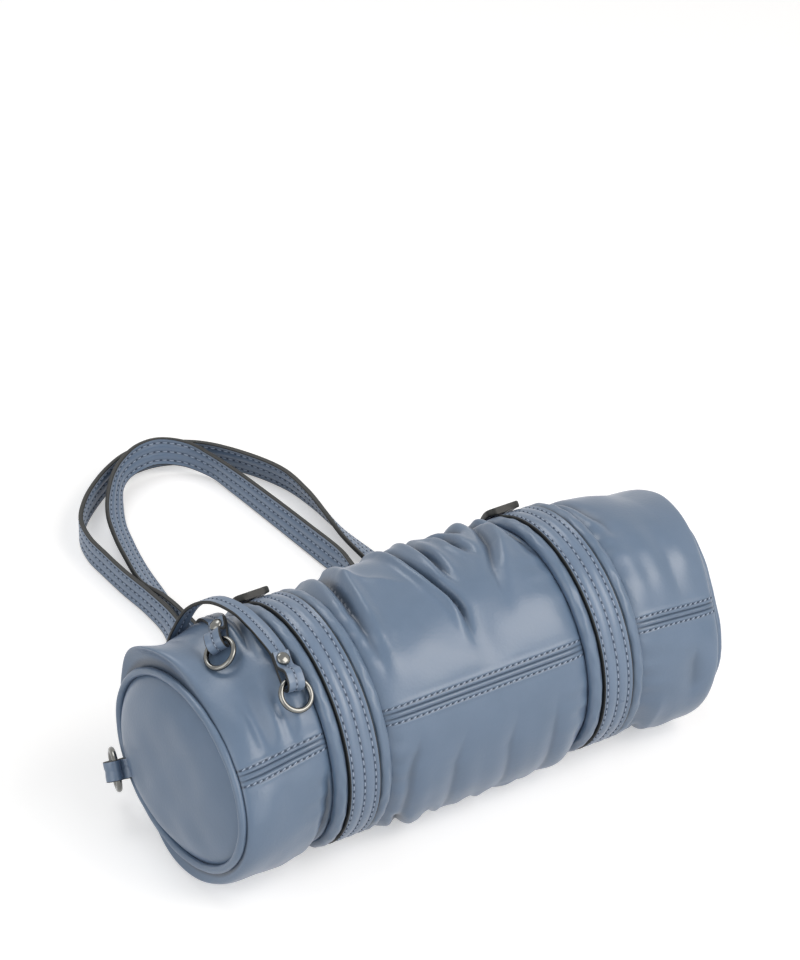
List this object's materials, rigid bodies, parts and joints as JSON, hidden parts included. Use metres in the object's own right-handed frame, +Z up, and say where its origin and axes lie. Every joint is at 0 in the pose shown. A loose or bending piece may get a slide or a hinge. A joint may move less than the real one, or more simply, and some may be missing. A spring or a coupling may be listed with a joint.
{
  "type": "barrel shoulder bag",
  "caption": "Soft leather barrel shoulder bag with gathered bands, long strap handles, riveted ties with rings and a zip along the top.",
  "frame": {"origin": "centre of the pressed flat underside that the bag lies on, at floor level", "axes": "+X along the barrel towards the end with no ties, +Y to the back where the zip and the handles lie, +Z up"},
  "size_m": [0.2981, 0.366, 0.116],
  "materials": {
    "body_leather": "smooth satin",
    "strap_leather": "smooth satin, dark painted edges",
    "lining_cloth": "matte",
    "fibre_board": "raw",
    "zip_cloth": "woven",
    "nickel": "satin nickel"
  },
  "bodies": {
    "bag": {"upper_body_panel": "body_leather", "lower_body_panel": "body_leather", "lining": "lining_cloth", "left_piping": "body_leather", "right_piping": "body_leather", "left_end_panel": "body_leather", "right_end_panel": "body_leather", "left_end_board": "fibre_board", "right_end_board": "fibre_board", "left_end_lining": "lining_cloth", "right_end_lining": "lining_cloth", "left_band_underlay": "body_leather", "right_band_underlay": "body_leather", "left_band_strap": "strap_leather", "right_band_strap": "strap_leather", "upper_handle_tab_left": "strap_leather", "upper_handle_tab_right": "strap_leather", "lower_handle_tab_left": "strap_leather", "lower_handle_tab_right": "strap_leather", "left_end_tab": "strap_leather", "right_end_tab": "strap_leather", "upper_zip_tape": "zip_cloth", "lower_zip_tape": "zip_cloth", "upper_zip_teeth": "nickel", "lower_zip_teeth": "nickel", "left_zip_stop": "nickel", "right_zip_stop": "nickel", "left_zip_patch": "body_leather", "right_zip_patch": "body_leather"},
    "upper_handle": {"upper_handle_strap": "strap_leather"},
    "lower_handle": {"lower_handle_strap": "strap_leather"},
    "long_tie": {"long_tie": "strap_leather", "long_tie_rivet": "nickel"},
    "long_tie_ring": {"long_tie_ring": "nickel"},
    "short_tie": {"short_tie": "strap_leather", "short_tie_rivet": "nickel"},
    "short_tie_ring": {"short_tie_ring": "nickel"},
    "left_end_ring": {"left_end_ring": "nickel"},
    "right_end_ring": {"right_end_ring": "nickel"},
    "zip_slider": {"zip_slider": "nickel", "zip_slider_back": "nickel"},
    "zip_pull": {"zip_pull": "nickel"}
  },
  "joints": [
    {"name": "upper_handle_swing", "type": "hinge", "parent": "bag", "child": "upper_handle", "pos_m": [0, 0.0635, 0.0581], "axis": [1, 0, 0], "range_deg": [0, 110]},
    {"name": "lower_handle_swing", "type": "hinge", "parent": "bag", "child": "lower_handle", "pos_m": [0, 0.0342, 0.0032], "axis": [1, 0, 0], "range_deg": [0, 45]},
    {"name": "long_tie_swing", "type": "hinge", "parent": "bag", "child": "long_tie", "pos_m": [-0.10977, 0.05086, 0.07959], "axis": [-0.9848, -0.076, 0.156], "range_deg": [0, 40]},
    {"name": "long_tie_ring_turn", "type": "hinge", "parent": "long_tie", "child": "long_tie_ring", "pos_m": [-0.09223, -0.03199, 0.10612], "axis": [-0.9898, 0.06, 0.129], "range_deg": [0, 120]},
    {"name": "short_tie_swing", "type": "hinge", "parent": "bag", "child": "short_tie", "pos_m": [-0.09635, 0.04788, 0.08673], "axis": [-0.9959, 0.05, -0.0755], "range_deg": [0, 5]},
    {"name": "short_tie_ring_turn", "type": "hinge", "parent": "short_tie", "child": "short_tie_ring", "pos_m": [-0.10829, 0.00949, 0.10807], "axis": [-0.7272, 0.4211, -0.5421], "range_deg": [0, 120]},
    {"name": "left_end_ring_turn", "type": "hinge", "parent": "bag", "child": "left_end_ring", "pos_m": [-0.14607, 0.04342, 0.02564], "axis": [0.114, 0.5699, 0.8138], "range_deg": [0, 130]},
    {"name": "right_end_ring_turn", "type": "hinge", "parent": "bag", "child": "right_end_ring", "pos_m": [0.13879, 0.04342, 0.02356], "axis": [-0.114, -0.5699, -0.8138], "range_deg": [0, 130]},
    {"name": "zip_slide", "type": "slide", "parent": "bag", "child": "zip_slider", "axis": [1, 0, 0], "range_m": [-0.18, 0]},
    {"name": "zip_pull_swing", "type": "hinge", "parent": "zip_slider", "child": "zip_pull", "pos_m": [0.09, 0.0503, 0.02937], "axis": [0, 0.454, 0.891], "range_deg": [-60, 60]}
  ],
  "couplings": [
    {"joint": "lower_handle_swing", "follows": "upper_handle_swing", "ratio": 0.409}
  ]
}
